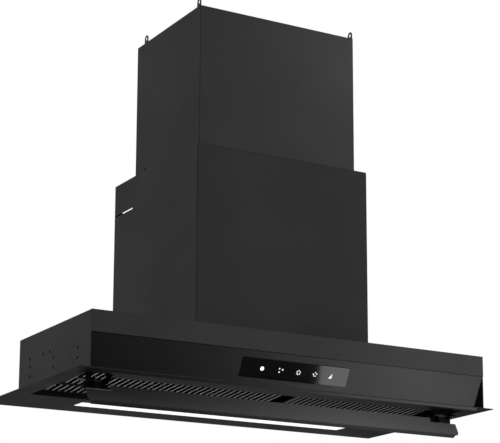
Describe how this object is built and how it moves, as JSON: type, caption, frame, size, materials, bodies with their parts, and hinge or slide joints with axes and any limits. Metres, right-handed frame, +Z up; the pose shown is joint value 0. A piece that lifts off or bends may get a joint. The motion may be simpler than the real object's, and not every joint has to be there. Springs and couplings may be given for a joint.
{
  "type": "range hood",
  "caption": "Black wall range hood with trim flange, slanted touch panel, slotted filters, hinged deflector, light strip and telescoping chimney.",
  "frame": {"origin": "middle of the trim flange's rear edge, on the wall plane and at the height of its underside", "axes": "+X to the hood's right side as seen from its front, +Y towards the wall, +Z up"},
  "size_m": [0.9, 0.448, 0.8251],
  "materials": {
    "black_paint": "satin black powder coat",
    "zinc_sheet": "galvanised sheet",
    "touch_glass": "black backed touch glass",
    "milky_cover": "milky light cover",
    "black_plastic": "moulded black plastic",
    "board": "green circuit board",
    "white_board": "white light board",
    "rubber": "soft rubber",
    "motor_case": "cast and painted motor can",
    "bright_steel": "bright steel",
    "can_aluminium": "drawn aluminium can",
    "damper_plastic": "grey black plastic"
  },
  "bodies": {
    "hood": {"bottom_flange": "black_paint", "canopy_shell": "black_paint", "front_rail": "black_paint", "control_fascia": "black_paint", "control_glass": "touch_glass", "control_carrier": "black_plastic", "touch_board": "board", "light_tray": "zinc_sheet", "led_diffuser": "milky_cover", "led_board": "white_board", "filter_rail_front": "black_paint", "filter_rail_rear": "black_paint", "filter_divider": "black_paint", "flap_bracket_left": "black_plastic", "flap_bracket_right": "black_plastic", "flap_pins": "bright_steel", "fan_box": "zinc_sheet", "scroll_housing": "zinc_sheet", "inlet_ring": "zinc_sheet", "motor": "motor_case", "motor_bearings": "bright_steel", "motor_grommets": "rubber", "motor_screws": "bright_steel", "capacitor": "can_aluminium", "capacitor_clip": "zinc_sheet", "outlet_collar": "damper_plastic", "damper_pin": "bright_steel", "lower_chimney": "black_paint", "rear_frame": "black_paint", "wall_bracket": "zinc_sheet", "electronics_box": "black_plastic", "electronics_lid": "black_plastic", "power_board": "board", "cable_gland": "black_plastic", "flange_screws": "bright_steel", "chimney_screws": "bright_steel"},
    "upper_cover": {"upper_chimney": "black_paint", "hanging_tabs": "black_paint", "clip_nuts": "black_paint"},
    "deflector": {"deflector_flap": "black_paint"},
    "left_filter": {"filter_left": "black_paint"},
    "right_filter": {"filter_right": "black_paint"},
    "left_latch": {"filter_latch_left": "black_plastic"},
    "right_latch": {"filter_latch_right": "black_plastic"},
    "fan_rotor": {"fan_wheel": "damper_plastic", "rotor_shaft": "bright_steel", "wheel_nut": "bright_steel"},
    "damper_front": {"damper_leaf_front": "damper_plastic"},
    "damper_rear": {"damper_leaf_rear": "damper_plastic"}
  },
  "joints": [
    {"name": "upper_cover_slide", "type": "slide", "parent": "hood", "child": "upper_cover", "axis": [0, 0, 1], "range_m": [-0.15, 0.15]},
    {"name": "deflector_hinge", "type": "hinge", "parent": "hood", "child": "deflector", "pos_m": [0, -0.376, -0.008], "axis": [1, 0, 0], "range_deg": [-62, 26]},
    {"name": "left_filter_swing", "type": "hinge", "parent": "hood", "child": "left_filter", "pos_m": [-0.18, -0.392, 0.02569], "axis": [1, 0, 0], "range_deg": [-42, 0]},
    {"name": "right_filter_swing", "type": "hinge", "parent": "hood", "child": "right_filter", "pos_m": [0.24, -0.392, 0.02569], "axis": [1, 0, 0], "range_deg": [-42, 0]},
    {"name": "left_latch_slide", "type": "slide", "parent": "left_filter", "child": "left_latch", "axis": [0, 0.9968, -0.0802], "range_m": [-0.006, 0], "stiffness_N_per_m": 250, "springref_m": 0.003},
    {"name": "right_latch_slide", "type": "slide", "parent": "right_filter", "child": "right_latch", "axis": [0, 0.9968, -0.0802], "range_m": [-0.006, 0], "stiffness_N_per_m": 250, "springref_m": 0.003},
    {"name": "fan_spin", "type": "hinge", "parent": "hood", "child": "fan_rotor", "pos_m": [-0.06, -0.317, 0.236], "axis": [0, 1, 0], "continuous": true},
    {"name": "damper_front_hinge", "type": "hinge", "parent": "hood", "child": "damper_front", "pos_m": [0, -0.264, 0.40964], "axis": [1, 0, 0], "range_deg": [-78, 0]},
    {"name": "damper_rear_hinge", "type": "hinge", "parent": "hood", "child": "damper_rear", "pos_m": [0, -0.264, 0.40964], "axis": [1, 0, 0], "range_deg": [0, 78]}
  ],
  "couplings": [
    {"joint": "damper_rear_hinge", "follows": "damper_front_hinge", "ratio": -1}
  ]
}
